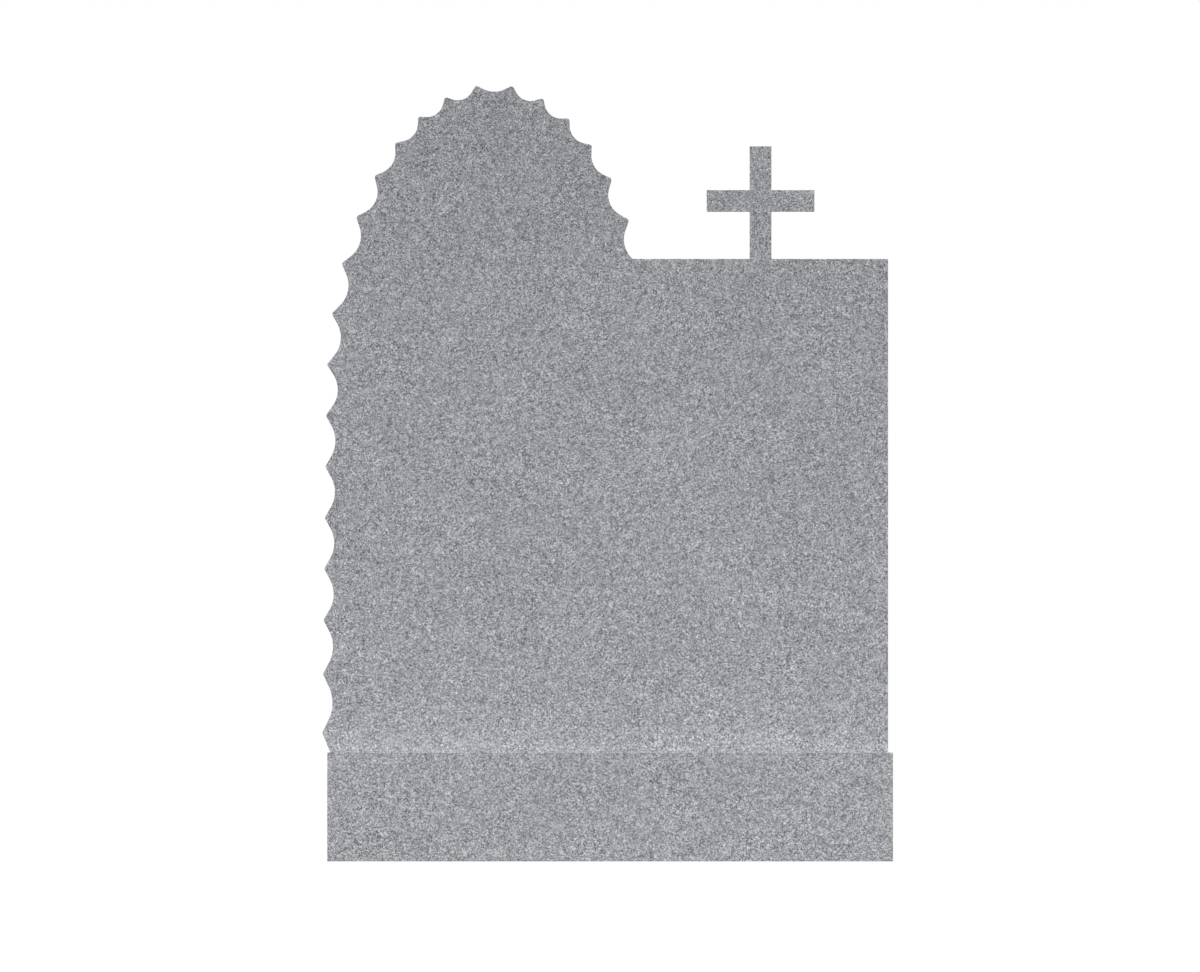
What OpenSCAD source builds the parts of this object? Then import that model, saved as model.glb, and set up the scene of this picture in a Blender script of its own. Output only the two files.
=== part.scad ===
// Upright headstone: a standing slab of grey granite on a plain granite base block. The slab is one
// stone, sawn to an outline with a tall scalloped arch at its left, a level shoulder at its right and
// a small cross that rises from the shoulder. Two steel dowels pin it to the block, and it stands in a
// thin bed of setting compound.
// Millimetres. The origin is the centre of the block's underside, +Z is up and the front looks to -Y.

/* [Base block] */
// Length of the base block, left to right
base_w = 1040; // [840:10:1400]
// Depth of the base block, front to back
base_d = 250; // [180:10:400]
// Height of the base block
base_h = 200; // [120:10:300]

/* [Standing slab] */
// Thickness of the slab
slab_t = 100; // [60:5:140]
// Distance from the block's right end to the slab's plain right edge
edge_in = 9; // [0:1:40]
// Height of the level shoulder above the slab's foot
shoulder_h = 906; // [700:5:1050]

/* [Arch] */
// Width of the arch across the tips of its scallops
arch_w = 605; // [480:5:680]
// Distance that the arch's left side stands out past the block's left end, at its springing
arch_out = 2; // [0:0.5:20]
// Height of the arch's springing above the slab's foot
spring_h = 668.5; // [500:0.5:780]
// Rise of the arch from its springing to its crown
arch_rise = 560; // [440:1:680]
// Lean of the arch towards the shoulder, in degrees
arch_lean = 0.65; // [0:0.05:2]

/* [Scallops] */
// Width of the scallop on the crown
crown_scallop = 68; // [50:1:80]
// Width of the scallops round the head
head_scallop = 61; // [50:1:80]
// Width of the scallops down the sides
side_scallop = 94; // [60:1:120]
// Scallops from the crown at which they start to widen
widen_from = 2; // [1:0.1:4]
// Scallops from the crown at which they reach their full width
widen_to = 7.1; // [5:0.1:9]
// Scallops from the crown after which they grow again towards the foot
foot_from = 13; // [8:1:16]
// Growth in width of the first of those
foot_growth = 5; // [0:0.5:10]
// Depth of the crown scallop
crown_depth = 11.5; // [8:0.5:18]
// Depth of the scallops round the head
head_depth = 16; // [10:0.5:18]
// Depth of the scallops on the haunches, between the head and the straight sides
haunch_depth = 21; // [12:0.5:22]
// Depth of the scallops down the sides
side_depth = 18; // [12:0.5:24]
// Straight flank at each end of a scallop as a share of its width
flank = 0.24; // [0.1:0.01:0.3]
// Radius of the tips between the scallops
tip_r = 4.5; // [1:0.5:6]

/* [Cross] */
// Width of the cross's post and height of its arms
bar_w = 40; // [25:1:60]
// Height of the cross above the shoulder
cross_h = 207; // [150:1:300]
// Span of the arms
cross_span = 198; // [140:1:240]
// Height of the arms' underside above the shoulder
arm_z = 86.5; // [50:0.5:120]

/* [Bed and dowels] */
// Thickness of the setting compound under the slab
bed_t = 1.5; // [1:0.5:5]
// Distance that the compound is struck back from the slab's faces
bed_back = 1; // [0.5:0.5:5]
// Diameter of the dowels
dowel_d = 16; // [10:1:20]
// Clearance round a dowel in its holes, and over its top
dowel_gap = 0.5; // [0.3:0.1:2]
// Depth of a dowel's hole in the block, and of the one in the slab
dowel_depth = 80; // [50:5:110]
// Distance of the dowels from the ends of the slab
dowel_in = 190; // [120:10:300]

/* [Hidden] */
$fn = 48;

arc_steps = 12;    // chords in the round part of a scallop
tip_steps = 5;     // chords round a tip
head_count = 4;    // scallops beside the crown's that have the head's depth
haunch_count = 5;  // scallops below those that have the haunches' depth

foot_z = base_h + bed_t;
shoulder_z = foot_z + shoulder_h;
spring_z = foot_z + spring_h;
arch_x = arch_w / 2 - arch_out - base_w / 2;
edge_x = base_w / 2 - edge_in;
dowel_x = [arch_x - arch_w / 2 + dowel_in, edge_x - dowel_in];

// The scallops' tips lie on half an ellipse that runs on down straight legs, and leans at its springing.
// A place on it is given by its distance from the crown, positive to the right.
function ellipse_pt(t) = [arch_w / 2 * sin(t), arch_rise * cos(t)];
ellipse_run = [for (t = 0, run = 0; t <= 90; run = run + norm(ellipse_pt(t + 1) - ellipse_pt(t)), t = t + 1)
    [run, t]];
head_run = ellipse_run[90][0];
function lean(p) = [arch_x + p.x * cos(arch_lean) + p.y * sin(arch_lean),
                    spring_z - p.x * sin(arch_lean) + p.y * cos(arch_lean)];
function arch_pt(run) = let (d = abs(run), p = ellipse_pt(lookup(d, ellipse_run)))
    lean([sign(run) * p.x, d < head_run ? p.y : head_run - d]);

// Scallop 0 sits on the crown, and the others are counted from it down each side.
function ease(x) = let (t = max(0, min(1, x))) t * t * (3 - 2 * t);
function scallop_w(n) = n == 0 ? crown_scallop
    : head_scallop + (side_scallop - head_scallop) * ease((n - widen_from) / (widen_to - widen_from))
        + foot_growth * pow(max(0, n - foot_from), 1.5);
function scallop_depth(n) = n == 0 ? crown_depth
    : n <= head_count ? head_depth
    : n <= head_count + haunch_count ? haunch_depth : side_depth;

// Distance from the crown to each tip down one side, as far as the first that is below the foot.
foot_run = head_run + spring_h + arch_w * sin(arch_lean);
tip_runs = [for (n = 0, run = crown_scallop / 2, above = true;
                 above;
                 above = run < foot_run, n = n + 1, run = run + scallop_w(n))
    run];
last = len(tip_runs) - 1;

// Tip n ends scallop n on the right, and tip -n - 1 is its mirror image on the left.
function tip(n) = n < 0 ? arch_pt(-tip_runs[-n - 1]) : arch_pt(tip_runs[n]);

function unit(v) = v / norm(v);

// Round part of the scallop of depth h between tips a and b: an arc that its straight flanks run into.
function scallop(a, b, h) =
    let (chord = norm(b - a), along = unit(b - a), out = [-along.y, along.x], f = flank * chord,
         r = (chord * chord / 4 + h * h - f * f) / (2 * h),
         centre = (a + b) / 2 + out * (r - h),
         half = asin(r / norm([chord / 2, r - h])) - atan2(r - h, chord / 2))
    [for (i = [0 : arc_steps]) let (t = half * (2 * i / arc_steps - 1))
        centre + r * (sin(t) * along - cos(t) * out)];

// Tip p between its neighbours a and b, rounded to tip_r.
function round_tip(a, p, b) =
    let (u = unit(a - p), v = unit(b - p), half = acos(u * v) / 2,
         centre = p + unit(u + v) * tip_r / sin(half),
         from = p + u * tip_r / tan(half) - centre, to = p + v * tip_r / tan(half) - centre)
    [for (i = [0 : tip_steps]) centre + tip_r * unit(from + (to - from) * i / tip_steps)];

// The whole border, from the left foot over the crown to the right foot.
arcs = [for (n = [-last : last]) scallop(tip(n - 1), tip(n), scallop_depth(abs(n)))];
border = [for (i = [0 : 2 * last]) each concat(
    i == 0 ? [tip(-last - 1)] : round_tip(arcs[i - 1][arc_steps], tip(i - last - 1), arcs[i][0]),
    arcs[i])];

// Places along X where the border crosses height z.
function crossings(z) = [for (i = [1 : len(border) - 1]) let (p = border[i - 1], q = border[i])
    if ((p.y - z) * (q.y - z) <= 0 && p.y != q.y) p.x + (q.x - p.x) * (z - p.y) / (q.y - p.y)];
foot_x = min(crossings(foot_z));
shoulder_x = max(crossings(shoulder_z));

// The cross stands midway between the arch and the slab's plain edge.
cross_x = (shoulder_x + edge_x) / 2;
half_cross = [
    [bar_w, 0], [bar_w, 2 * arm_z], [cross_span, 2 * arm_z],
    [cross_span, 2 * (arm_z + bar_w)], [bar_w, 2 * (arm_z + bar_w)], [bar_w, 2 * cross_h],
] / 2;
cross_right = [for (p = half_cross) [cross_x + p.x, shoulder_z + p.y]];
cross_left = [for (p = half_cross) [cross_x - p.x, shoulder_z + p.y]];

// The slab's outline, clockwise from the left of its foot.
outline = concat(
    [[foot_x, foot_z]],
    [for (p = border) if (p.y > (p.x < arch_x ? foot_z : shoulder_z)) p],
    [[shoulder_x, shoulder_z]],
    cross_left,
    [for (i = [len(cross_right) - 1 : -1 : 0]) cross_right[i]],
    [[edge_x, shoulder_z], [edge_x, foot_z]]);

module dowel_holes() {
    for (x = dowel_x)
        translate([x, 0, base_h - dowel_depth])
            cylinder(h = 2 * dowel_depth + bed_t, d = dowel_d + 2 * dowel_gap);
}

module base_block() {
    color("darkgray") difference() {
        translate([-base_w / 2, -base_d / 2, 0]) cube([base_w, base_d, base_h]);
        dowel_holes();
    }
}

module slab() {
    color("silver") difference() {
        translate([0, slab_t / 2, 0]) rotate([90, 0, 0]) linear_extrude(slab_t) polygon(outline);
        dowel_holes();
    }
}

module bed() {
    color("gainsboro") difference() {
        translate([foot_x + bed_back, bed_back - slab_t / 2, base_h])
            cube([edge_x - foot_x - 2 * bed_back, slab_t - 2 * bed_back, bed_t]);
        dowel_holes();
    }
}

// A dowel stands on the bottom of its hole in the block.
module dowel(x) {
    color("lightsteelblue") translate([x, 0, base_h - dowel_depth])
        cylinder(h = 2 * dowel_depth + bed_t - dowel_gap, d = dowel_d);
}

base_block();
slab();
bed();
dowel(dowel_x[0]);  // dowel_left
dowel(dowel_x[1]);  // dowel_right
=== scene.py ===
import math

import bmesh
import bpy
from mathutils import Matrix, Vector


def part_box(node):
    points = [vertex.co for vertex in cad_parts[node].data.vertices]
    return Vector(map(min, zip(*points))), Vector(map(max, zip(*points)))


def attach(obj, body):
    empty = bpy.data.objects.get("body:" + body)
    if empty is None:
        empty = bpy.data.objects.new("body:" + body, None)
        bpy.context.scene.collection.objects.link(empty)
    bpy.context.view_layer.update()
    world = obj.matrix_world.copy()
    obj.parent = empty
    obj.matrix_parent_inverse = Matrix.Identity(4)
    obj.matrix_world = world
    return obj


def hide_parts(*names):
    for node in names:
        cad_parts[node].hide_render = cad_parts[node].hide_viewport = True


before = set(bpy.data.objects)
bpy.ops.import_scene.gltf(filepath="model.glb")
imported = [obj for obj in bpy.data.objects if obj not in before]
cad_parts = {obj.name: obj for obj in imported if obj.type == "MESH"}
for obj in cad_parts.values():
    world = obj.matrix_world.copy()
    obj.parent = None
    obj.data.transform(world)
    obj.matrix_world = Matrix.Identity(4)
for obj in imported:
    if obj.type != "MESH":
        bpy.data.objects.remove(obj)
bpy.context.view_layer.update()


# ---- Studio ----------------------------------------------------------------------------------------
# The headstone stands on a wide pale floor under a soft even sky, with a broad lamp in front of it
# and a weaker one behind. It is seen square from the front, with no convergence. Metres throughout.

VIEW_WIDTH = 2.206       # what the camera takes in from left to right
VIEW_X = -0.0186         # the middle of that view
VIEW_Z = 0.690
VIEW_DISTANCE = 12.0
SKY_STRENGTH = 0.60
FLOOR_REACH = 60.0
FLOOR_SEEN = 0.72        # the floor's paleness to the eye
FLOOR_BOUNCE = 0.30      # and its share of the light that it throws back up at the stone
FLOOR_ROUGHNESS = 0.9
LAMPS = {                # strength, and in degrees: azimuth from the front, elevation and softness
    "front_lamp": (0.70, -25, 43, 40),
    "back_lamp": (0.40, 150, 40, 50),
}


def feed(tree, node, inputs):
    """Feeds a node's inputs, each from a value, from another node's output or from an Amount."""
    for key, value in dict(inputs).items():
        if isinstance(key, int):
            socket = node.inputs[key]
        else:
            socket = next(s for s in node.inputs if s.name == key and s.enabled)
        value = getattr(value, "socket", value)
        if isinstance(value, bpy.types.NodeSocket):
            tree.links.new(value, socket)
        else:
            socket.default_value = value


def fit(tree, kind, inputs=(), **settings):
    """Fits a node into a tree, with its settings, and feeds its inputs."""
    node = tree.nodes.new(kind)
    for name, value in settings.items():
        setattr(node, name, value)
    feed(tree, node, inputs)
    return node


class Amount:
    """A number in a node tree. Arithmetic on amounts fits Math nodes into the tree."""

    def __init__(self, socket):
        self.socket = socket

    def of(self, operation, *others):
        """Fits one Math node, for this amount and others."""
        terms = enumerate((self, *others))
        return Amount(fit(self.socket.id_data, "ShaderNodeMath", terms, operation=operation).outputs[0])

    def carried(self, source, target, **settings):
        """Carries an amount over from one range to another, and holds it at that range's ends."""
        ends = {"From Min": source[0], "From Max": source[1], "To Min": target[0], "To Max": target[1]}
        node = fit(self.socket.id_data, "ShaderNodeMapRange", {"Value": self, **ends}, **settings)
        return Amount(node.outputs[0])

    def __add__(self, other):
        return self.of("ADD", other)

    def __sub__(self, other):
        return self.of("SUBTRACT", other)

    def __mul__(self, other):
        return self.of("MULTIPLY", other)

    def __truediv__(self, other):
        return self.of("DIVIDE", other)


def start_material(name):
    """A new material and its node tree, which holds a Principled shader."""
    material = bpy.data.materials.new(name)
    material.use_nodes = True
    return material, material.node_tree


def lay_on(tree, inputs):
    """Feeds the shader of a material."""
    feed(tree, tree.nodes["Principled BSDF"], inputs)


def stand_in_scene(name, data):
    """A new object for a mesh, a lamp or a camera, in the scene and at the origin."""
    thing = bpy.data.objects.new(name, data)
    bpy.context.scene.collection.objects.link(thing)
    return thing


def studio_camera():
    """A camera square on to the front, whose view lines are all parallel to Y."""
    lens = bpy.data.cameras.new("front_camera")
    lens.type = "ORTHO"
    lens.ortho_scale = VIEW_WIDTH
    camera = stand_in_scene("front_camera", lens)
    camera.location = (VIEW_X, -VIEW_DISTANCE, VIEW_Z)
    camera.rotation_euler = (math.pi / 2, 0, 0)
    bpy.context.scene.camera = camera


def studio_sky():
    """An even sky that lights softly, and that looks white where it is seen or mirrored."""
    world = bpy.data.worlds.new("soft_sky")
    world.use_nodes = True
    tree = world.node_tree
    tree.nodes.clear()
    ray = fit(tree, "ShaderNodeLightPath").outputs
    seen = Amount(ray["Is Camera Ray"]).of("MAXIMUM", ray["Is Glossy Ray"])
    seen = seen.of("MAXIMUM", ray["Is Transmission Ray"])
    strength = seen.carried((0.0, 1.0), (SKY_STRENGTH, 1.0))
    sky = fit(tree, "ShaderNodeBackground", {"Color": (1, 1, 1, 1), "Strength": strength})
    fit(tree, "ShaderNodeOutputWorld", {"Surface": sky.outputs[0]})
    bpy.context.scene.world = world


def studio_lamp(name, strength, azimuth, elevation, softness):
    """A broad lamp that shines towards the middle, from the side and the height of its two angles."""
    lamp = bpy.data.lights.new(name, "SUN")
    lamp.energy = strength * math.pi
    lamp.angle = math.radians(softness)
    holder = stand_in_scene(name, lamp)
    holder.rotation_euler = (math.radians(90 - elevation), 0, math.radians(azimuth))


def studio_floor():
    """One wide pale sheet under the block, which throws little light back up."""
    mesh = bpy.data.meshes.new("studio_floor")
    corners = [(x * FLOOR_REACH, y * FLOOR_REACH, 0) for x, y in ((-1, -1), (1, -1), (1, 1), (-1, 1))]
    mesh.from_pydata(corners, [], [(0, 1, 2, 3)])
    paint, tree = start_material("studio_floor")
    bounced = Amount(fit(tree, "ShaderNodeLightPath").outputs["Is Diffuse Ray"])
    lay_on(tree, {
        "Base Color": bounced.carried((0.0, 1.0), (FLOOR_SEEN, FLOOR_BOUNCE)),
        "Roughness": FLOOR_ROUGHNESS, "Specular IOR Level": 0.0,
    })
    mesh.materials.append(paint)
    stand_in_scene("studio_floor", mesh)


studio_camera()
studio_sky()
for lamp_name, lamp_values in LAMPS.items():
    studio_lamp(lamp_name, *lamp_values)
studio_floor()
bpy.context.scene.view_settings.view_transform = "Standard"


# ---- Base block ------------------------------------------------------------------------------------
# The base is one sawn block of light grey granite, fine rubbed on its front and back and left as sawn
# elsewhere. Two blind holes are drilled down into its top for the dowels that hold the slab.

BLOCK_EASE = 0.0006      # radius of the rubbed arrises
EASE_STEPS = 3           # chords across an eased arris
EASED_OVER = 50          # degrees: an edge that turns less, such as a scallop's tip, isn't eased
FLAT_WITHIN = 1          # degrees: faces that turn less than this are one flat face
TOUCHING = 1e-5          # corners nearer than this are one corner

BLOCK_TONE = 0.396       # the stone's paleness at its underside, on average over its crystals
BLOCK_PAINTED_FADE = 0.406       # share of that tone that it loses with each metre up: painted light, which offsets the shade near the floor
BLOCK_OFFSET = (0.31, 0.17, 0.53)    # sets its crystals apart from the slab's

GRAIN = 0.00185          # size of one crystal
MINERALS = (             # the crystals' shares, and their colours against the whole mixture's
    (0.12, (0.507, 0.530, 0.573)),   # smoky quartz
    (0.32, (0.795, 0.820, 0.878)),   # grey quartz
    (0.38, (1.141, 1.167, 1.238)),   # pale feldspar
    (0.18, (1.640, 1.665, 1.754)),   # white feldspar
)
STONE_HUE = (0.978, 1.0, 1.057)      # the mixture's own hue
CRYSTAL_SPREAD = 0.24    # how much crystals of one mineral differ in paleness
MICA_SHARE = 0.11        # share of the small black flakes between the crystals
MICA_BLUR = 0.01         # half the band in which a flake is only partly dark
MICA_FINER = 2.2         # flakes to the width of one crystal
MICA_LEFT = 0.12         # what a flake leaves of the paleness under it
SHADES = (0.4, 1.4)      # a dark and a pale crystal's paleness, against the whole mixture's
SHADE_ROUGHNESS = (0.52, 0.66)       # and how rough the rub leaves each of them

BORDER_WAVES = 0.9       # waves in a crystal's border, to the width of one crystal
BORDER_DETAIL = 1.0

# Soft patterns: how often each repeats per metre, its detail, and a shift that sets it apart.
CLUSTERS = (85.0, 2.0, 0.0)          # where like crystals gather
CLOUDS = (26.0, 4.0, 3.0)            # a drift in paleness, and a wider one
WIDE_CLOUDS = (5.0, 3.0, 7.0)
PATCHES = (14.0, 1.0, 11.0)          # a drift in contrast
CLUSTER_PULL = 0.30      # how strongly like crystals gather
MOTTLING = 0.16          # how far the clouds change the paleness
CONTRAST = 1.19          # between the crystals
CONTRAST_DRIFT = 0.7     # how far that changes from patch to patch

KNOTS = 22.0             # places for a knot of feldspar, per metre
KNOT_CHANCE = 0.4        # share of those places that hold one
KNOT_REACH = (0.10, 0.26)            # radius of its core and of its rim, against the places' spacing
KNOT_PALER = 0.07
KNOT_CALMER = 0.4        # contrast that a knot takes away

SAW_SPACING = 0.0016     # between the scratches that the saw leaves
SAW_DETAIL = 2.0
SAW_DRAWN = 0.03         # how slowly a scratch changes along its length
RUBBED = (0.5, 0.95)     # share of a face's direction along Y, from a sawn to a rubbed face
SAWN_ROUGHER = 0.14
CRYSTAL_RELIEF = 0.5     # the crystals' part in the relief, against the saw's
RELIEF_DEPTH = 0.00025
RELIEF_STRENGTH = 0.5
STONE_SHINE = 0.35


def vectors(tree, operation, a, b=None, scale=None):
    """Fits a Vector Math node into a tree."""
    inputs = {0: a}
    if b is not None:
        inputs[1] = b
    if scale is not None:
        inputs["Scale"] = scale
    return fit(tree, "ShaderNodeVectorMath", inputs, operation=operation).outputs


def coordinates(tree, place):
    """A place's X, Y and Z."""
    return [Amount(axis) for axis in fit(tree, "ShaderNodeSeparateXYZ", {"Vector": place}).outputs]


def noise(tree, place, pattern):
    """Soft noise, from a pattern's repeats per metre, its detail and its shift."""
    repeats, detail, shift = pattern
    shifted = vectors(tree, "ADD", place, (shift, 0, shift))[0]
    return fit(tree, "ShaderNodeTexNoise", {"Vector": shifted, "Scale": repeats, "Detail": detail}).outputs


def drift(tree, place, pattern):
    """Soft noise that runs at most half a unit up and down from 0."""
    return Amount(noise(tree, place, pattern)["Fac"]) - 0.5


def cells(tree, place, repeats):
    """Random cells: two numbers that are the same all over a cell, and the distance from its middle."""
    cell = fit(tree, "ShaderNodeTexVoronoi", {"Vector": place, "Scale": repeats}).outputs
    lots = fit(tree, "ShaderNodeSeparateColor", {"Color": cell["Color"]}).outputs
    return Amount(lots[0]), Amount(lots[1]), Amount(cell["Distance"])


def shader_group(name, taken, given):
    """An empty shader node group, from the kinds of its named inputs and outputs."""
    group = bpy.data.node_groups.new(name, "ShaderNodeTree")
    for way, sockets in (("INPUT", taken), ("OUTPUT", given)):
        for label, kind in sockets.items():
            group.interface.new_socket(label, in_out=way, socket_type="NodeSocket" + kind)
    return group, fit(group, "NodeGroupInput").outputs


def crystal_group():
    """Light grey granite through and through: feldspar, quartz and small clustered flakes of mica.

    Grain is the size of a crystal, Tone the mixture's mean paleness and Mottling how far that drifts.
    """
    group, taken = shader_group(
        "granite_crystals", {"Place": "Vector", "Grain": "Float", "Mottling": "Float", "Tone": "Float"},
        {"Colour": "Color", "Roughness": "Float", "Height": "Float"})
    place = taken["Place"]
    crystals_per_metre = Amount(taken["Grain"]).of("POWER", -1.0)

    # Crystals interlock, so their straight borders are bent by half a grain or so.
    bend = noise(group, place, (crystals_per_metre * BORDER_WAVES, BORDER_DETAIL, 0.0))["Color"]
    bend = vectors(group, "SUBTRACT", bend, (0.5, 0.5, 0.5))[0]
    bend = vectors(group, "SCALE", bend, scale=taken["Grain"])[0]
    bent = vectors(group, "ADD", place, bend)[0]

    kind, spread, _ = cells(group, bent, crystals_per_metre)
    cluster = drift(group, place, CLUSTERS) * CLUSTER_PULL
    mineral = fit(group, "ShaderNodeValToRGB", {"Fac": kind + cluster})
    mineral.color_ramp.interpolation = "CONSTANT"
    stops = mineral.color_ramp.elements
    stops.remove(stops[-1])
    start = 0.0
    for share, colour in MINERALS:
        stop = stops.new(start) if start else stops[0]
        stop.color = (*colour, 1)
        start += share

    # Mica flakes are less than half as wide, and lie between and inside the other crystals.
    flake, _, _ = cells(group, bent, crystals_per_metre * MICA_FINER)
    flake_edge = (1.0 - MICA_SHARE - MICA_BLUR, 1.0 - MICA_SHARE + MICA_BLUR)
    flakes = (flake - cluster).carried(flake_edge, (1.0, MICA_LEFT))
    crystal = ((spread - 0.5) * CRYSTAL_SPREAD + 1.0) * flakes
    speckle = vectors(group, "SCALE", mineral.outputs["Color"], scale=crystal)[0]

    # Here and there feldspar gathers into a knot, a paler and quieter patch as big as a thumbnail.
    chosen, _, reach = cells(group, place, KNOTS)
    knot = reach.carried(KNOT_REACH, (1.0, 0.0)) * chosen.of("GREATER_THAN", 1.0 - KNOT_CHANCE)

    # The mixture itself drifts a little from place to place, in its paleness and in its contrast.
    clouds = drift(group, place, CLOUDS) + drift(group, place, WIDE_CLOUDS)
    level = (clouds * taken["Mottling"] + knot * KNOT_PALER + 1.0) * taken["Tone"]
    contrast = drift(group, place, PATCHES) * CONTRAST_DRIFT - knot * KNOT_CALMER + CONTRAST
    blend = fit(group, "ShaderNodeMix", {"Factor": contrast, "A": (*STONE_HUE, 1), "B": speckle},
                data_type="RGBA", clamp_factor=False)
    blend = next(output for output in blend.outputs if output.enabled)
    colour = vectors(group, "SCALE", blend, scale=level)[0]

    # Mica sits a little low, and the darker crystals come up smoother than feldspar.
    shade = Amount(vectors(group, "DOT_PRODUCT", speckle, (1 / 3, 1 / 3, 1 / 3))["Value"])
    fit(group, "NodeGroupOutput", {
        "Colour": colour, "Roughness": shade.carried(SHADES, SHADE_ROUGHNESS),
        "Height": shade.of("MINIMUM", 1.0),
    })
    return group


def saw_group():
    """The marks of sawing: long shallow scratches, on the faces that were not rubbed.

    Sawn is 1 wherever the stone faces away from the Y axis, and the scratches run along that axis.
    """
    group, taken = shader_group(
        "saw_marks", {"Place": "Vector", "Facing": "Vector", "Spacing": "Float"},
        {"Sawn": "Float", "Height": "Float"})
    _, facing, _ = coordinates(group, taken["Facing"])
    sawn = facing.of("ABSOLUTE").carried(RUBBED, (1.0, 0.0))
    drawn = vectors(group, "MULTIPLY", taken["Place"], (1.0, SAW_DRAWN, 1.0))[0]
    scratches_per_metre = Amount(taken["Spacing"]).of("POWER", -1.0)
    scratches = Amount(noise(group, drawn, (scratches_per_metre, SAW_DETAIL, 0.0))["Fac"])
    fit(group, "NodeGroupOutput", {"Sawn": sawn, "Height": scratches * sawn})
    return group


crystals = crystal_group()
saw_marks = saw_group()


def granite(name, offset, paleness):
    """A rubbed granite. Its crystals start at an offset of their own, so that no two stones match.

    paleness turns the X and Z of a place on the stone into the stone's tone there, painted light included.
    """
    material, tree = start_material(name)
    seen = fit(tree, "ShaderNodeTexCoord").outputs
    place = fit(tree, "ShaderNodeMapping", {"Vector": seen["Object"], "Location": offset}).outputs[0]
    x, _, z = coordinates(tree, seen["Object"])
    stone = fit(tree, "ShaderNodeGroup", {
        "Place": place, "Grain": GRAIN, "Mottling": MOTTLING, "Tone": paleness(x, z),
    }, node_tree=crystals).outputs
    saw = fit(tree, "ShaderNodeGroup", {
        "Place": place, "Facing": seen["Normal"], "Spacing": SAW_SPACING,
    }, node_tree=saw_marks).outputs
    relief = Amount(stone["Height"]) * CRYSTAL_RELIEF + saw["Height"]
    bump = fit(tree, "ShaderNodeBump",
               {"Height": relief, "Strength": RELIEF_STRENGTH, "Distance": RELIEF_DEPTH})
    lay_on(tree, {
        "Base Color": stone["Colour"],
        "Roughness": Amount(stone["Roughness"]) + Amount(saw["Sawn"]) * SAWN_ROUGHER,
        "Normal": bump.outputs[0], "Specular IOR Level": STONE_SHINE,
    })
    return material


def made_mesh(piece):
    """Turns a piece and its modifiers into one plain mesh."""
    finished = bpy.data.meshes.new_from_object(piece.evaluated_get(bpy.context.evaluated_depsgraph_get()))
    piece.modifiers.clear()
    finished.name = piece.data.name
    piece.data = finished


def ease_edges(piece, radius):
    """Rounds every edge of a piece that is sharper than a scallop's tip, and leaves a plain mesh.

    The weld closes the slivers that the rounding leaves, and the last step keeps flat faces flat.
    """
    piece.data.shade_smooth()
    bevel = piece.modifiers.new("eased_edges", "BEVEL")
    bevel.width = radius
    bevel.segments = EASE_STEPS
    bevel.limit_method = "ANGLE"
    bevel.angle_limit = math.radians(EASED_OVER)
    bevel.use_clamp_overlap = False
    weld = piece.modifiers.new("closed_slivers", "WELD")
    weld.merge_threshold = 2 * TOUCHING
    piece.modifiers.new("flat_faces", "WEIGHTED_NORMAL")
    made_mesh(piece)


def eased_copy(node, name, ease):
    """A CAD node's mesh as one welded stone or bar, with its sharp edges rounded to a radius."""
    mesh = bpy.data.objects[node].data.copy()
    mesh.name = name
    mesh.materials.clear()
    welded = bmesh.new()
    welded.from_mesh(mesh)
    bmesh.ops.remove_doubles(welded, verts=welded.verts, dist=TOUCHING)
    bmesh.ops.dissolve_limit(welded, angle_limit=math.radians(FLAT_WITHIN),
                             verts=welded.verts, edges=welded.edges)
    welded.to_mesh(mesh)
    welded.free()
    piece = stand_in_scene(name, mesh)
    ease_edges(piece, ease)
    return piece


def block_tone_and_light(x, z):
    """The block is painted a shade paler towards the ground, evenly over its height: painted light that
    offsets the shade where it meets the floor.
    """
    return (z * -BLOCK_PAINTED_FADE + 1.0) * BLOCK_TONE


block = eased_copy("base_block", "base_block_stone", BLOCK_EASE)
block.data.materials.append(granite("base_granite", BLOCK_OFFSET, block_tone_and_light))
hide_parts("base_block")
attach(block, "root")


# ---- Dowels ----------------------------------------------------------------------------------------
# Two plain bars of drawn stainless steel, ground to size and eased at the ends. They stand in the
# block's holes and reach up into the slab, so that it can't slide or be pushed over.

DOWEL_EASE = 0.001       # radius of the bars' ends
DOWEL_GAP = 0.0005       # room round a dowel in its holes, and over its top
HOLE_SIDES = 48
STEEL_COLOUR = (0.56, 0.56, 0.55)
STEEL_ROUGHNESS = 0.22
RINGS = (3500.0, 3.0, 0.0)           # the grinding wheel's fine rings
RINGS_ROUND = 0.05       # how slowly a ring changes on its way round the bar
RING_TONE = 0.10
RING_ROUGHNESS = 0.16
RING_DEPTH = 0.00003
RING_STRENGTH = 0.3
TARNISH = (60.0, 2.0, 0.0)           # a faint dulling, from patch to patch
TARNISH_TONE = 0.08

DOWELS = ("dowel_left", "dowel_right")

pins = [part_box(node) for node in DOWELS]
pin_x = [(low.x + high.x) / 2 for low, high in pins]
hole_radius = (pins[0][1].x - pins[0][0].x) / 2 + DOWEL_GAP


def ground_steel():
    """Centreless-ground stainless bar: fine rings round it, and a slight drift of tone."""
    material, tree = start_material("ground_stainless")
    place = fit(tree, "ShaderNodeTexCoord").outputs["Object"]
    along = vectors(tree, "MULTIPLY", place, (RINGS_ROUND, RINGS_ROUND, 1.0))[0]
    rings = Amount(noise(tree, along, RINGS)["Fac"])
    level = (rings - 0.5) * RING_TONE + drift(tree, place, TARNISH) * TARNISH_TONE + 1.0
    bump = fit(tree, "ShaderNodeBump", {"Height": rings, "Strength": RING_STRENGTH, "Distance": RING_DEPTH})
    lay_on(tree, {
        "Base Color": vectors(tree, "SCALE", STEEL_COLOUR, scale=level)[0],
        "Roughness": rings * RING_ROUGHNESS + STEEL_ROUGHNESS,
        "Normal": bump.outputs[0], "Metallic": 1.0,
    })
    return material


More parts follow.
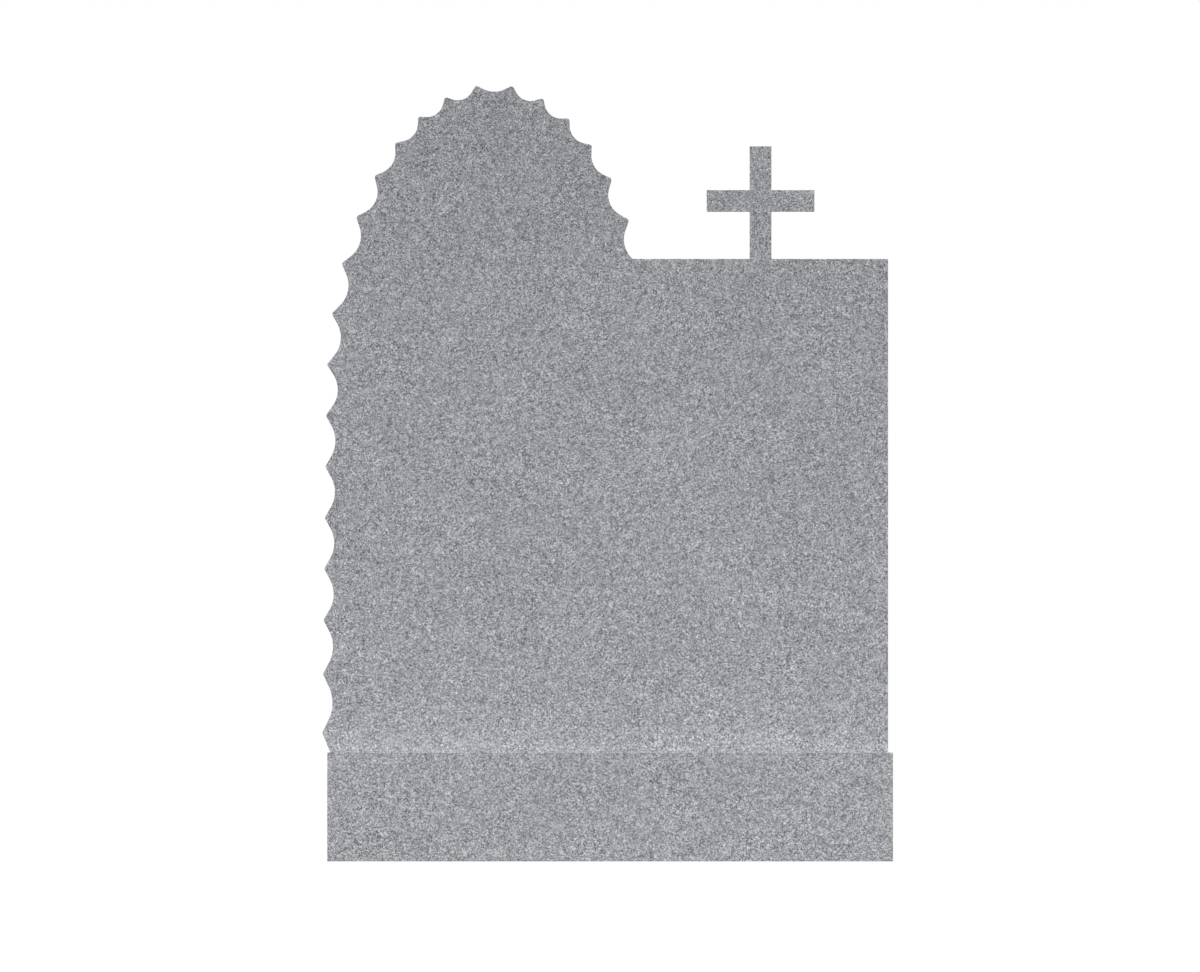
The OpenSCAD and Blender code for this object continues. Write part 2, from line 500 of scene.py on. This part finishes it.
steel = ground_steel()
for node in DOWELS:
    dowel = eased_copy(node, node + "_bar", DOWEL_EASE)
    dowel.data.materials.append(steel)
    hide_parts(node)
    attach(dowel, "root")


# ---- Bedding compound ------------------------------------------------------------------------------
# The slab stands in a thin bed of setting compound, a mastic filled with crushed granite to match the
# stone. What the slab's weight squeezed out was struck off, which left a small cove round its foot.

COVE_OUT = 0.0005        # how far the cove's toe reaches out over the block, from the slab's face
COVE_UP = 0.0026         # how far the cove climbs up that face, from the top of the block
COVE_STEPS = 5           # chords across the cove
BEAD_CUTS = 255          # points along each side of the bead
BEAD_DRIFT = 0.35        # how much the bead's size drifts along its length, as a share of it
BEAD_WAVES = (24.0, 3.0, 0.0)        # how often it does so
ARRIS_TURNS = (0, 40, 80)            # degrees round the slab's arris, as far as the bead goes in
SLAB_EASE = 0.0008       # radius of the slab's rubbed arrises, which the bead fills under
SHARP_FROM = 40          # degrees: an edge that turns more is shaded as a sharp one

COMPOUND_TONE = 0.42
CHIP = 0.0015            # size of the crushed granite in the compound
COMPOUND_ROUGHER = 0.2   # than the rubbed stone
STREAKS = (900.0, 2.0, 0.0)          # the trowel's faint streaks
STREAKS_DRAWN = 0.08     # how slowly a streak changes along its length
STREAK_TONE = 0.15
CHIP_RELIEF = 0.6
STREAK_RELIEF = 0.4
COMPOUND_DEPTH = 0.0002
COMPOUND_STRENGTH = 0.6
COMPOUND_SHINE = 0.3

bed_low, bed_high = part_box("bed")
bed_thickness = bed_high.z - bed_low.z
bed_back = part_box("slab")[1].x - bed_high.x      # how far the layer lies back from the slab's faces
bed_depth = bed_high.y - bed_low.y + 2 * bed_back


def geometry_tree(name, sizes, whole_numbers=()):
    """An empty Geometry Nodes tree with a geometry, named sizes and a material as its inputs."""
    tree = bpy.data.node_groups.new(name, "GeometryNodeTree")
    tree.interface.new_socket("Geometry", in_out="INPUT", socket_type="NodeSocketGeometry")
    for size in sizes:
        kind = "NodeSocketInt" if size in whole_numbers else "NodeSocketFloat"
        tree.interface.new_socket(size, in_out="INPUT", socket_type=kind)
    tree.interface.new_socket("Finish", in_out="INPUT", socket_type="NodeSocketMaterial")
    tree.interface.new_socket("Geometry", in_out="OUTPUT", socket_type="NodeSocketGeometry")
    return tree, fit(tree, "NodeGroupInput").outputs


def finish_tree(tree, shape, finish):
    """Ends a tree: shaded smooth but for its sharp edges, realized, and in its material."""
    angle = Amount(fit(tree, "GeometryNodeInputMeshEdgeAngle").outputs["Unsigned Angle"])
    soft = angle.of("LESS_THAN", math.radians(SHARP_FROM))
    faces = fit(tree, "GeometryNodeSetShadeSmooth", {"Geometry": shape}).outputs[0]
    edges = fit(tree, "GeometryNodeSetShadeSmooth", {"Geometry": faces, "Shade Smooth": soft},
                domain="EDGE").outputs[0]
    whole = fit(tree, "GeometryNodeRealizeInstances", {"Geometry": edges}).outputs[0]
    dressed = fit(tree, "GeometryNodeSetMaterial", {"Geometry": whole, "Material": finish}).outputs[0]
    fit(tree, "NodeGroupOutput", {"Geometry": dressed})


def made_by(tree, name, sizes, finish, start):
    """A piece made by a tree from its sizes, its material and the points that it starts from."""
    seed = bpy.data.meshes.new(name)
    seed.from_pydata([(x, y, 0) for x, y in start], [], [])
    piece = stand_in_scene(name, seed)
    maker = piece.modifiers.new(tree.name, "NODES")
    maker.node_group = tree
    for item in tree.interface.items_tree:
        if item.in_out == "INPUT" and item.name != "Geometry":
            maker[item.identifier] = finish if item.name == "Finish" else sizes[item.name]
    made_mesh(piece)
    piece.data.materials.clear()
    piece.data.materials.append(finish)
    return piece


def place_at(tree, x=0.0, y=0.0, z=0.0):
    """A place, from its coordinates."""
    return fit(tree, "ShaderNodeCombineXYZ", {"X": x, "Y": y, "Z": z}).outputs[0]


def moved(tree, shape, by):
    """A shape moved to another place."""
    return fit(tree, "GeometryNodeTransform", {"Geometry": shape, "Translation": by}).outputs[0]


def joined(tree, *shapes):
    """Several shapes as one."""
    node = fit(tree, "GeometryNodeJoinGeometry")
    for shape in shapes:
        tree.links.new(shape, node.inputs[0])
    return node.outputs[0]


def sheet_of(tree, outline, thickness):
    """Fills a flat outline, holes and all, and gives it a thickness; both faces and walls are closed."""
    face = fit(tree, "GeometryNodeFillCurve", {"Curve": outline}, mode="NGONS").outputs[0]
    raised = fit(tree, "GeometryNodeExtrudeMesh",
                 {"Mesh": face, "Offset Scale": thickness, "Individual": False}).outputs["Mesh"]
    under = fit(tree, "GeometryNodeFlipFaces", {"Mesh": face}).outputs[0]
    return fit(tree, "GeometryNodeMergeByDistance",
               {"Geometry": joined(tree, raised, under), "Distance": TOUCHING}).outputs[0]


def closed_line(tree, points, **order):
    """A closed line through points, in their own order or in that of a weight."""
    line = fit(tree, "GeometryNodePointsToCurves", {"Points": points, **order}).outputs[0]
    return fit(tree, "GeometryNodeSetSplineCyclic", {"Geometry": line, "Cyclic": True}).outputs[0]


def bed_tree():
    """A thin layer with a round hole for each dowel, and the bead that runs round the slab's foot.

    The incoming points are the bead's profile, out from the slab's face and up from the block.
    """
    tree, given = geometry_tree(
        "struck_bed", ("Left", "Right", "Depth", "Under", "Thickness", "Set back", "Bead cuts", "Drift",
                       "First hole", "Second hole", "Hole radius", "Hole sides"),
        whole_numbers=("Bead cuts", "Hole sides"))
    left, right, depth = Amount(given["Left"]), Amount(given["Right"]), Amount(given["Depth"])
    middle = place_at(tree, x=(left + right) / 2)

    def rectangle(width, height):
        sides = fit(tree, "GeometryNodeCurvePrimitiveQuadrilateral", {"Width": width, "Height": height})
        return moved(tree, sides.outputs[0], middle)

    def hole(x):
        circle = fit(tree, "GeometryNodeCurvePrimitiveCircle",
                     {"Resolution": given["Hole sides"], "Radius": given["Hole radius"]})
        return moved(tree, circle.outputs[0], place_at(tree, x=x))

    set_back = Amount(given["Set back"]) * 2.0
    outline = joined(tree, rectangle(right - left - set_back, depth - set_back),
                     hole(given["First hole"]), hole(given["Second hole"]))
    layer = sheet_of(tree, outline, given["Thickness"])

    # The bead is swept round the foot. Its size drifts a little, as the hand's pressure does.
    path = fit(tree, "GeometryNodeSubdivideCurve",
               {"Curve": rectangle(right - left, depth), "Cuts": given["Bead cuts"]}).outputs[0]
    path = fit(tree, "GeometryNodeSetCurveNormal", {"Curve": path}, mode="Z_UP").outputs[0]
    along = fit(tree, "GeometryNodeInputPosition").outputs[0]
    swell = drift(tree, along, BEAD_WAVES) * given["Drift"] + 1.0
    profile = fit(tree, "GeometryNodeMeshToPoints", {"Mesh": given["Geometry"]}).outputs[0]
    bead = fit(tree, "GeometryNodeCurveToMesh",
               {"Curve": path, "Profile Curve": closed_line(tree, profile), "Scale": swell}).outputs[0]
    laid = moved(tree, joined(tree, bead, layer), place_at(tree, z=given["Under"]))
    finish_tree(tree, laid, given["Finish"])
    return tree


def bead_profile():
    """The bead's points: its underside, the cove up to the slab's face, and back in round the arris.

    A sweep turns a profile's Y axis downwards, so the heights are negative here.
    """
    cove = [(COVE_OUT * (1 - rise) ** 2, COVE_UP * rise)
            for rise in (step / COVE_STEPS for step in range(COVE_STEPS + 1))]
    arris = [(SLAB_EASE * (math.cos(turn) - 1), bed_thickness + SLAB_EASE * (1 - math.sin(turn)))
             for turn in map(math.radians, ARRIS_TURNS)]
    return [(x, -z) for x, z in ((-bed_back, 0), *cove, *arris)]


def compound_paint():
    """Matt mastic full of crushed granite, with faint streaks from the trowel and no shine."""
    material, tree = start_material("struck_compound")
    place = fit(tree, "ShaderNodeTexCoord").outputs["Object"]
    drawn = vectors(tree, "MULTIPLY", place, (STREAKS_DRAWN, STREAKS_DRAWN, 1.0))[0]
    streaks = Amount(noise(tree, drawn, STREAKS)["Fac"])
    chips = fit(tree, "ShaderNodeGroup", {
        "Place": place, "Grain": CHIP, "Mottling": MOTTLING,
        "Tone": ((streaks - 0.5) * STREAK_TONE + 1.0) * COMPOUND_TONE,
    }, node_tree=crystals).outputs
    relief = Amount(chips["Height"]) * CHIP_RELIEF + streaks * STREAK_RELIEF
    bump = fit(tree, "ShaderNodeBump",
               {"Height": relief, "Strength": COMPOUND_STRENGTH, "Distance": COMPOUND_DEPTH})
    lay_on(tree, {
        "Base Color": chips["Colour"], "Roughness": Amount(chips["Roughness"]) + COMPOUND_ROUGHER,
        "Normal": bump.outputs[0], "Specular IOR Level": COMPOUND_SHINE,
    })
    return material


bed = made_by(bed_tree(), "bed_compound", {
    "Left": bed_low.x - bed_back, "Right": bed_high.x + bed_back, "Depth": bed_depth, "Set back": bed_back,
    "Under": bed_low.z, "Thickness": bed_thickness, "Bead cuts": BEAD_CUTS, "Drift": BEAD_DRIFT,
    "First hole": pin_x[0], "Second hole": pin_x[1], "Hole radius": hole_radius, "Hole sides": HOLE_SIDES,
}, compound_paint(), bead_profile())
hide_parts("bed")
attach(bed, "root")


# ---- Standing slab ---------------------------------------------------------------------------------
# The slab is one stone, sawn with a wire to its outline: a tall arch with a scalloped border at the
# left, a level shoulder at the right and a small cross that rises from it. Front and back are rubbed.

SLAB_TONE = 0.3667       # its paleness at the foot, but for the painted light there, on average over its crystals
SLAB_PAINTED_FADE = 0.1535       # share of that tone that the slab loses with each metre up: painted light, brightest low down
SLAB_OFFSET = (0.0, 0.0, 0.0)        # where its crystals start
PAINTED_FOOT_LIGHT = 0.261       # share that it gains at the foot: painted light, in place of light thrown up off the block's top
FOOT_LIGHT_REACH = 0.035      # how far up that painted light has faded to a third
HEAD_SHADE = 0.030       # share that the head of the arch loses over the level of the shoulder
HEAD_BLEND = 0.080       # how far above the shoulder that loss is complete
HEAD_TO_CROSS = (0.04, 0.14)         # X across the gap beside the cross, which doesn't share that loss

ARCH_OUT = 0.002         # how far the arch's left side stands out past the block, at its springing
CROSS_IN = 0.2345        # from the slab's plain right edge to the middle of the cross
CROSS_BAR = 0.040
CROSS_HEIGHT = 0.207     # above the shoulder
CROSS_SPAN = 0.198
CROSS_ARM = 0.0865       # underside of the arms above the shoulder
ARCH = {
    # The line that the scallops' tips lie on, and the level shoulder beside it.
    "Arch width": 0.605, "Arch rise": 0.560, "Springing": 0.6685, "Lean": math.radians(0.65),
    "Shoulder": 0.906,
    # The scallops' widths, and where those change, counted in scallops from the crown.
    "Crown scallop": 0.068, "Head scallop": 0.061, "Side scallop": 0.094,
    "Widens from": 2.0, "Widens to": 7.1, "Foot from": 13.0, "Foot growth": 0.005,
    # Their depths. The head ends after the fourth scallop from the crown, the haunch after the ninth.
    "Crown depth": 0.0115, "Head depth": 0.016, "Haunch depth": 0.021, "Side depth": 0.018,
    "Head scallops": 4.5, "Haunch scallops": 9.5,
    # A flank's share of a scallop's width, the tips, and how finely the whole is drawn.
    "Flank": 0.24, "Tip radius": 0.0045, "Corner room": 0.0025,
    "Scallops a side": 18, "Arc steps": 24, "Tip steps": 6, "Ellipse steps": 180,
}
GROWTH_POWER = 1.5       # how the scallops' growth towards the foot builds up

slab_low, slab_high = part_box("slab")
block_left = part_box("base_block")[0].x


def choose(tree, test, yes, no, kind="FLOAT"):
    """One of two values, by a test."""
    return fit(tree, "GeometryNodeSwitch", {"Switch": test, "True": yes, "False": no},
               input_type=kind).outputs[0]


def scallop_tips(tree, size, index):
    """The tips down one side of the arch, as points, from the end of the scallop on the crown."""
    # Half of the line that they lie on: a quarter ellipse from the crown, then a leg past the foot.
    steps = size["Ellipse steps"]
    turn = index.of("MINIMUM", steps) / steps * (math.pi / 2)
    leg = index.of("GREATER_THAN", steps) * (size["Springing"] + size["Arch width"])
    half_arch = place_at(tree, size["Arch width"] * 0.5 * turn.of("SINE"),
                         size["Arch rise"] * turn.of("COSINE") - leg)
    line = fit(tree, "GeometryNodeMeshLine", {"Count": steps + 2.0}).outputs[0]
    line = fit(tree, "GeometryNodeSetPosition", {"Geometry": line, "Position": half_arch}).outputs[0]
    line = fit(tree, "GeometryNodeMeshToCurve", {"Mesh": line}).outputs[0]

    # They are spaced by the widths of the scallops between them.
    ease = (index - size["Widens from"]) / (size["Widens to"] - size["Widens from"])
    ease = ease.of("MAXIMUM", 0.0).of("MINIMUM", 1.0)
    ease = ease * ease * (ease * -2.0 + 3.0)
    width = size["Head scallop"] + (size["Side scallop"] - size["Head scallop"]) * ease
    low_down = (index - size["Foot from"]).of("MAXIMUM", 0.0)
    width = width + size["Foot growth"] * low_down.of("POWER", GROWTH_POWER)
    width = choose(tree, index.of("LESS_THAN", 0.5), size["Crown scallop"] * 0.5, width)
    run = fit(tree, "GeometryNodeAccumulateField", {"Value": width}).outputs["Leading"]
    tips = fit(tree, "GeometryNodePoints", {"Count": size["Scallops a side"] + 1.0}).outputs[0]
    on_line = fit(tree, "GeometryNodeSampleCurve", {"Curves": line, "Length": run}, mode="LENGTH")
    return fit(tree, "GeometryNodeSetPosition",
               {"Geometry": tips, "Position": on_line.outputs["Position"]}).outputs[0]


def border_count(size):
    """Points in the border before its tips are rounded: each scallop has its arc's and one tip."""
    return (size["Scallops a side"] * 2.0 + 1.0) * (size["Arc steps"] + 2.0)


def scalloped_border(tree, size, index, position, tips):
    """The whole border, from the left foot over the crown to the right foot, as a line."""

    def tip(number):
        """Tip n ends scallop n on the right; tip -n - 1 is its mirror image on the left."""
        right = number.of("GREATER_THAN", -0.5)
        row = (number + 0.5).of("ABSOLUTE") - 0.5
        found = fit(tree, "GeometryNodeSampleIndex", {"Geometry": tips, "Value": position, "Index": row},
                    data_type="FLOAT_VECTOR").outputs[0]
        return vectors(tree, "MULTIPLY", found, place_at(tree, right * 2.0 - 1.0, 1.0))[0]

    # Its points are each scallop's arc between straight flanks, and then the tip that ends it.
    per_scallop = size["Arc steps"] + 2.0
    scallop = (index / per_scallop).of("FLOOR")
    step = index - scallop * per_scallop
    number = scallop - size["Scallops a side"]
    start, end = tip(number - 1.0), tip(number)
    across = vectors(tree, "SUBTRACT", end, start)[0]
    chord = Amount(vectors(tree, "LENGTH", across)["Value"])
    along = vectors(tree, "NORMALIZE", across)[0]
    out = vectors(tree, "CROSS_PRODUCT", (0, 0, 1), along)[0]

    from_crown = number.of("ABSOLUTE")
    depth = choose(tree, from_crown.of("LESS_THAN", size["Haunch scallops"]),
                   size["Haunch depth"], size["Side depth"])
    depth = choose(tree, from_crown.of("LESS_THAN", size["Head scallops"]), size["Head depth"], depth)
    depth = Amount(choose(tree, from_crown.of("LESS_THAN", 0.5), size["Crown depth"], depth))

    flank = size["Flank"] * chord
    radius = (chord * chord * 0.25 + depth * depth - flank * flank) / (depth * 2.0)
    back = radius - depth
    reach = (chord * chord * 0.25 + back * back).of("SQRT")
    half = (radius / reach).of("ARCSINE") - back.of("ARCTAN2", chord * 0.5)
    angle = half * (step / size["Arc steps"] * 2.0 - 1.0)
    middle = vectors(tree, "SCALE", vectors(tree, "ADD", start, end)[0], scale=0.5)[0]
    sideways = vectors(tree, "SCALE", along, scale=radius * angle.of("SINE"))[0]
    inwards = vectors(tree, "SCALE", out, scale=back - radius * angle.of("COSINE"))[0]
    on_arc = vectors(tree, "ADD", vectors(tree, "ADD", middle, sideways)[0], inwards)[0]
    at_tip = step.of("GREATER_THAN", size["Arc steps"] + 0.5)

    border = fit(tree, "GeometryNodeMeshLine", {"Count": border_count(size)}).outputs[0]
    border = fit(tree, "GeometryNodeSetPosition",
                 {"Geometry": border, "Position": choose(tree, at_tip, end, on_arc, "VECTOR")}).outputs[0]
    border = fit(tree, "GeometryNodeMeshToCurve", {"Mesh": border}).outputs[0]
    rounding = {"Count": size["Tip steps"], "Radius": at_tip * size["Tip radius"]}
    border = fit(tree, "GeometryNodeFilletCurve", {"Curve": border, **rounding}, mode="POLY").outputs[0]
    return fit(tree, "GeometryNodeTransform", {
        "Geometry": border, "Rotation": place_at(tree, z=size["Lean"] * -1.0),
        "Translation": place_at(tree, size["Arch middle"], size["Springing"]),
    }).outputs[0]


def cut_level(tree, size, index, position, border):
    """Cuts the border off level, at the foot on its left and at the shoulder on its right.

    Its last point before each cut keeps some room from it, so that the corner there can be eased.
    """
    x, y, _ = coordinates(tree, position)
    on_left = x.of("LESS_THAN", size["Arch middle"])
    cut = size["Shoulder"] * (on_left * -1.0 + 1.0)
    lowest = cut + size["Corner room"]
    low = y.of("LESS_THAN", lowest)
    inner = fit(tree, "GeometryNodeFieldAtIndex",
                {"Index": index + on_left * 2.0 - 1.0, "Value": position}, data_type="FLOAT_VECTOR")
    inner_x, inner_y, _ = coordinates(tree, inner.outputs[0])
    border = fit(tree, "GeometryNodeDeleteGeometry",
                 {"Geometry": border, "Selection": low * inner_y.of("LESS_THAN", lowest)}).outputs[0]
    level_x = x + (inner_x - x) * ((cut - y) / (inner_y - y))
    return fit(tree, "GeometryNodeSetPosition",
               {"Geometry": border, "Selection": low, "Position": place_at(tree, level_x, cut)}).outputs[0]


def in_order(tree, points, order):
    """Marks points with their place in the outline."""
    return fit(tree, "GeometryNodeStoreNamedAttribute",
               {"Geometry": points, "Name": "order", "Value": order},
               data_type="FLOAT", domain="POINT").outputs[0]


def stood_up(tree, size, slab):
    """Stands the flat slab on its bed, midway on the block's depth, and bores it for the dowels."""
    slab = fit(tree, "GeometryNodeTransform", {
        "Geometry": slab, "Rotation": place_at(tree, x=math.pi / 2),
        "Translation": place_at(tree, y=size["Thickness"] * 0.5, z=size["Foot"]),
    }).outputs[0]
    bore = fit(tree, "GeometryNodeMeshCylinder", {
        "Vertices": size["Hole sides"], "Radius": size["Hole radius"], "Depth": size["Hole depth"] * 2.0,
    }).outputs["Mesh"]
    first = place_at(tree, x=size["First hole"], z=size["Foot"])
    spacing = place_at(tree, x=size["Second hole"] - size["First hole"])
    centres = fit(tree, "GeometryNodeMeshLine", {"Count": 2, "Start Location": first, "Offset": spacing})
    bores = fit(tree, "GeometryNodeInstanceOnPoints", {"Points": centres.outputs[0], "Instance": bore})
    bores = fit(tree, "GeometryNodeRealizeInstances", {"Geometry": bores.outputs[0]}).outputs[0]
    return fit(tree, "GeometryNodeMeshBoolean", {"Mesh 1": slab, "Mesh 2": bores},
               operation="DIFFERENCE", solver="EXACT").outputs[0]


def slab_tree():
    """The whole slab. It is drawn flat, with its foot at Y 0, from the arch's rule and the plain edge.

    The incoming points are the plain edge, in order from the cross's left side round to the foot.
    """
    counts = ("Scallops a side", "Arc steps", "Tip steps", "Ellipse steps", "Hole sides")
    names = (*ARCH, "Arch middle", "Foot", "Thickness", "First hole", "Second hole",
             "Hole radius", "Hole depth", "Hole sides")
    tree, given = geometry_tree("scalloped_slab", names, whole_numbers=counts)
    size = {name: Amount(given[name]) for name in names}
    index = Amount(fit(tree, "GeometryNodeInputIndex").outputs[0])
    position = fit(tree, "GeometryNodeInputPosition").outputs[0]
    tips = scallop_tips(tree, size, index)
    border = cut_level(tree, size, index, position, scalloped_border(tree, size, index, position, tips))

    # The border and the plain edge make one closed outline. The plain edge's points come last, after
    # as many as the border can have once its tips are rounded.
    border = fit(tree, "GeometryNodeCurveToPoints", {"Curve": border}, mode="EVALUATED").outputs["Points"]
    plain = fit(tree, "GeometryNodeMeshToPoints", {"Mesh": given["Geometry"]}).outputs[0]
    after = border_count(size) * (size["Tip steps"] + 2.0)
    points = joined(tree, in_order(tree, border, index), in_order(tree, plain, index + after))
    weight = fit(tree, "GeometryNodeInputNamedAttribute", {"Name": "order"}).outputs["Attribute"]
    slab = sheet_of(tree, closed_line(tree, points, Weight=weight), size["Thickness"])
    finish_tree(tree, stood_up(tree, size, slab), given["Finish"])
    return tree


def plain_edge():
    """The slab's plain edge, drawn flat with its foot at Y 0: the cross, the shoulder, the right end."""
    middle = slab_high.x - CROSS_IN
    arm_top = CROSS_ARM + CROSS_BAR
    half_cross = [
        (CROSS_BAR / 2, 0), (CROSS_BAR / 2, CROSS_ARM), (CROSS_SPAN / 2, CROSS_ARM),
        (CROSS_SPAN / 2, arm_top), (CROSS_BAR / 2, arm_top), (CROSS_BAR / 2, CROSS_HEIGHT),
    ]
    cross = [(middle - x, ARCH["Shoulder"] + y) for x, y in half_cross]
    cross += [(middle + x, ARCH["Shoulder"] + y) for x, y in reversed(half_cross)]
    return [*cross, (slab_high.x, ARCH["Shoulder"]), (slab_high.x, 0)]


def slab_tone_and_light(x, z):
    """The slab's tone with painted light in it: palest at its foot and fading upwards. The cross keeps the
    tone of its shoulder.
    """
    shoulder = slab_low.z + ARCH["Shoulder"]
    in_head = (z - shoulder).of("MAXIMUM", 0.0) * (x.carried(HEAD_TO_CROSS, (0.0, 1.0)) * -1.0 + 1.0)
    rise = z.of("MINIMUM", shoulder) + in_head - slab_low.z
    # Painted light at the foot, which fades quickly upwards.
    foot_light = (rise / -FOOT_LIGHT_REACH).of("EXPONENT") * PAINTED_FOOT_LIGHT
    shade = in_head.carried((0.0, HEAD_BLEND), (0.0, HEAD_SHADE), interpolation_type="SMOOTHSTEP")
    return (foot_light + 1.0 - rise * SLAB_PAINTED_FADE - shade) * SLAB_TONE


slab = made_by(slab_tree(), "slab_stone", {
    **ARCH, "Arch middle": block_left - ARCH_OUT + ARCH["Arch width"] / 2, "Foot": slab_low.z,
    "Thickness": slab_high.y - slab_low.y, "First hole": pin_x[0], "Second hole": pin_x[1],
    "Hole radius": hole_radius, "Hole depth": pins[0][1].z + DOWEL_GAP - slab_low.z,
    "Hole sides": HOLE_SIDES,
}, granite("slab_granite", SLAB_OFFSET, slab_tone_and_light), plain_edge())
ease_edges(slab, SLAB_EASE)
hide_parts("slab")
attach(slab, "root")
